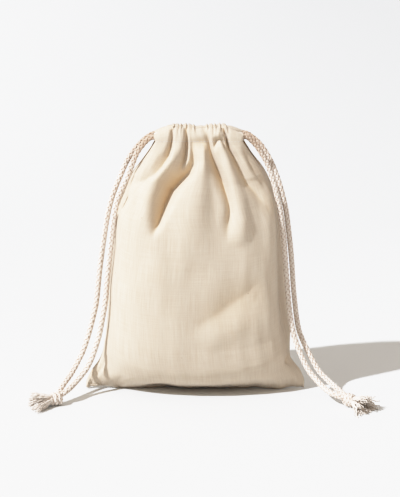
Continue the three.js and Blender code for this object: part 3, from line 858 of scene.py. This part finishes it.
def stitches(front, back, finish):
    """The thread of both casing seams: short beads along the casing's foot, half sunk in the cloth."""
    step, long, radius, rings, sides = 2.6, 1.9, 0.2, 7, 6
    proud = 0.08
    parts = []
    for sheet, side in ((front[..., :3], -1), (back[..., :3], 1)):
        outward = grid_normals(sheet)[hem_rows - 1] * -side
        seam = sheet[hem_rows - 1] + outward * proud
        along = distance_along(seam)
        starts = np.arange(3, along[-1] - 4, step)[:, None]
        wanted = starts + np.linspace(0, long, rings)
        lines = np.stack([np.interp(wanted, along, seam[:, k]) for k in range(3)], -1)
        thick = radius * np.sin(np.pi * (np.arange(rings) + 0.6) / (rings + 0.2)) ** 0.5
        parts.append(tubes(lines, sides, thick, thick))
    points, quads, ends, uv = join_parts(parts)
    thread = add_mesh("casing_stitches", points, quads, [ends], uv)
    thread.data.materials.append(finish)
    return thread


def hanging_strands(material):
    """The four free strands, each a braid from its exit at the casing into its knot."""
    into_knot = 2.5
    step = braid_pitch / 40
    made = {}
    routes = {
        "left_back_cord": (-1, 1, left_back_strand, "left_knot"),
        "left_front_cord": (-1, -1, left_front_strand, "left_knot"),
        "right_front_cord": (1, -1, right_front_strand, "right_knot"),
        "right_back_cord": (1, 1, right_back_strand, "right_knot"),
    }
    for name, (own, bank, strand, knot) in routes.items():
        exit_point = (casing_middle + own * exit_side, bank * exit_depth, exit_level)
        centre = knots[knot]["centre"]
        inward = np.subtract(centre, strand[-1])
        end = np.asarray(centre) - inward / np.linalg.norm(inward) * into_knot
        line = curve_through([exit_point, *strand, end], step)
        points, quads, ends, uv = braid(line, cord_diameter / 2)
        cord = add_mesh(name, points, quads, [ends], uv)
        cord.data.materials.append(material)
        made[name] = (cord, line, exit_point, knot)
    return made


def casing_run(own, bank):
    """A cord's way through one casing: the lane between its exit and its bight. Where the two cords pass, the
    right one runs over the left one. own is the side that the cord hangs on, bank the casing's side."""
    lane_step, lane_middle, lane_depth, lane_end = 2.5, 8.0, 3.5, 26.984
    turn = np.pi * np.arange(9) / 8
    x = casing_middle + own * lane_end * (1 - 2 * np.arange(9) / 8)
    y = bank * (lane_middle + lane_depth * np.cos(turn) ** 5)
    z = exit_level + own * lane_step * np.sin(turn)
    return np.stack([x, y, z], 1)


def gathered_cords(material):
    """The part of each drawcord inside the casings, from one exit to the other round its bight."""
    bight_side, bight_radius = 28.484, 4.5
    made = []
    for name, own in (("left_casing_cord", -1), ("right_casing_cord", 1)):
        turn = np.pi * np.arange(1, 6) / 6
        bight = np.stack([casing_middle - own * (bight_side + bight_radius * np.sin(turn)),
                          bight_radius * np.cos(turn), np.full(5, exit_level)], 1)
        back, front = casing_run(own, 1), casing_run(own, -1)[::-1]
        start = (casing_middle + own * (exit_side - 1), exit_depth, exit_level)
        end = (casing_middle + own * (exit_side - 1), -exit_depth, exit_level)
        line = curve_through(np.vstack([start, back, bight, front, end]), braid_pitch / 32)
        points, quads, ends, uv = braid(line, cord_diameter / 2)
        cord = add_mesh(name, points, quads, [ends], uv)
        cord.data.materials.append(material)
        made.append(cord)
    return made


def knot_wraps(centre, axis, side, up):
    """The knot itself: two cords side by side, about a turn and a half round its axis, and their cores."""
    wrap_reach, wrap_radius, core_radius, lowest = 3.55, 1.85, 1.9, 2.25
    parts = []
    for lane in (-1.55, 1.55):
        turn = np.linspace(-1.1 * np.pi, 2.2 * np.pi, 90)
        share = np.linspace(0, 1, 90)
        reach = wrap_reach * np.clip(np.minimum(share, 1 - share) * 5.5, 0.25, 1) ** 0.7
        ahead = lane + 5.0 * (share - 0.5) - 0.5
        line = (centre + ahead[:, None] * axis
                + (reach * np.cos(turn))[:, None] * side * 1.05 + (reach * np.sin(turn))[:, None] * up)
        line[:, 2] = np.maximum(line[:, 2], lowest)
        parts.append(braid(line, wrap_radius, start_turn=lane))
    for shift in (-1.3, 1.3):
        core = centre + np.linspace(-5.5, 6.5, 30)[:, None] * axis + shift * side
        parts.append(braid(core, core_radius, start_turn=shift))
    return join_parts(parts)


def frayed_yarns(centre, axis, side, up):
    """The tuft beyond the knot: bundles of yarns that fan out, sag by up to 2.4 mm and come to lie on the
    floor, crimped as the braid has left them."""
    bundles, each, rings, sides = 22, 7, 14, 4
    yarns = bundles * each
    yarn_radius, start_reach, sag = 0.72, 3.9, 2.4
    t = np.linspace(0, 1, rings)[None, :, None]
    turn = rng.uniform(0, 2 * np.pi, (bundles, 1))
    open_angle = 0.16 + 0.5 * rng.uniform(0, 1, (bundles, 1)) ** 0.8
    turn = turn + rng.normal(0, 0.22, (bundles, each))
    open_angle = open_angle + rng.normal(0, 0.07, (bundles, each))
    turn, open_angle = turn.reshape(-1, 1, 1), open_angle.reshape(-1, 1, 1)
    long = rng.uniform(10.5, 17.5, (yarns, 1, 1))
    start = start_reach * np.sqrt(rng.uniform(0, 1, (yarns, 1, 1)))
    spread = start * (1 - 0.25 * t) + long * np.tan(open_angle) * t ** 1.15
    crimp = 0.5 * np.sin(t * long * 1.1 + rng.uniform(0, 6.3, (yarns, 1, 1))) * t ** 0.5
    lines = (centre + axis * (3.0 + long * t)
             + side * (np.cos(turn) * spread + crimp)
             + up * (np.sin(turn) * spread * 0.75 + crimp * 0.6 - sag * t ** 2))
    floor = 0.35 + 0.25 * rng.uniform(0, 1, (yarns, 1))
    lines[..., 2] = floor + np.logaddexp(0, (lines[..., 2] - floor) * 2.2) / 2.2
    thick = yarn_radius * (1 - 0.5 * t[..., 0] ** 2) * rng.uniform(0.7, 1.15, (yarns, 1))
    return tubes(lines, sides, thick, thick)


def knot_piece(name, centre, heading, finishes):
    """An overhand knot of both strands with its frayed tuft, one piece in two finishes."""
    axis = np.array([heading[0], heading[1], 0.0])
    axis /= np.linalg.norm(axis)
    up = np.array([0.0, 0.0, 1.0])
    side = np.cross(up, axis)
    centre = np.asarray(centre, float)
    points, quads, ends, uv = knot_wraps(centre, axis, side, up)
    fray = frayed_yarns(centre, axis, side, up)
    knot_quads = len(quads)
    quads = np.vstack([quads, fray[1] + len(points)])
    piece = add_mesh(name + "_and_fray", np.vstack([points, fray[0]]), quads,
                     [ends, fray[2] + len(points)], np.vstack([uv, fray[3]]))
    for finish in finishes:
        piece.data.materials.append(finish)
    finish_of_face = np.zeros(len(piece.data.polygons), np.int32)
    finish_of_face[knot_quads:len(quads)] = 1
    finish_of_face[len(quads) + len(ends):] = 1
    piece.data.polygons.foreach_set("material_index", finish_of_face)
    return piece


camera_and_light()
studio_floor()
cloth, front, back = pouch_cloth(cloth_material())
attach(cloth, "root")
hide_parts("pouch_cloth")
thread = stitches(front, back, cord_material("sewing_thread", 0.0, 0.0))
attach(thread, "root")
braid_finish = cord_material("cotton_braid", 1.0, 1.0)
knot_finish = cord_material("knotted_cotton_braid", 0.8, 0.0)
yarn_finish = cord_material("loose_cotton_yarn", 0.0, 0.0)
strands = hanging_strands(braid_finish)
runs = gathered_cords(braid_finish)
knot_pieces = {name: knot_piece(name, k["centre"], k["heading"], (knot_finish, yarn_finish))
               for name, k in knots.items()}

for name, (cord, line, exit_point, knot) in strands.items():
    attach(cord, "root")
    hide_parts(name.split("_")[0] + "_drawcord")
    [v * MM for v in exit_point]
    (line[::4] * MM).tolist()
for name, cord in zip(("left_drawcord", "right_drawcord"), runs):
    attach(cord, "root")
    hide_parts(name)
for name, piece in knot_pieces.items():
    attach(piece, "root")
    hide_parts(name)
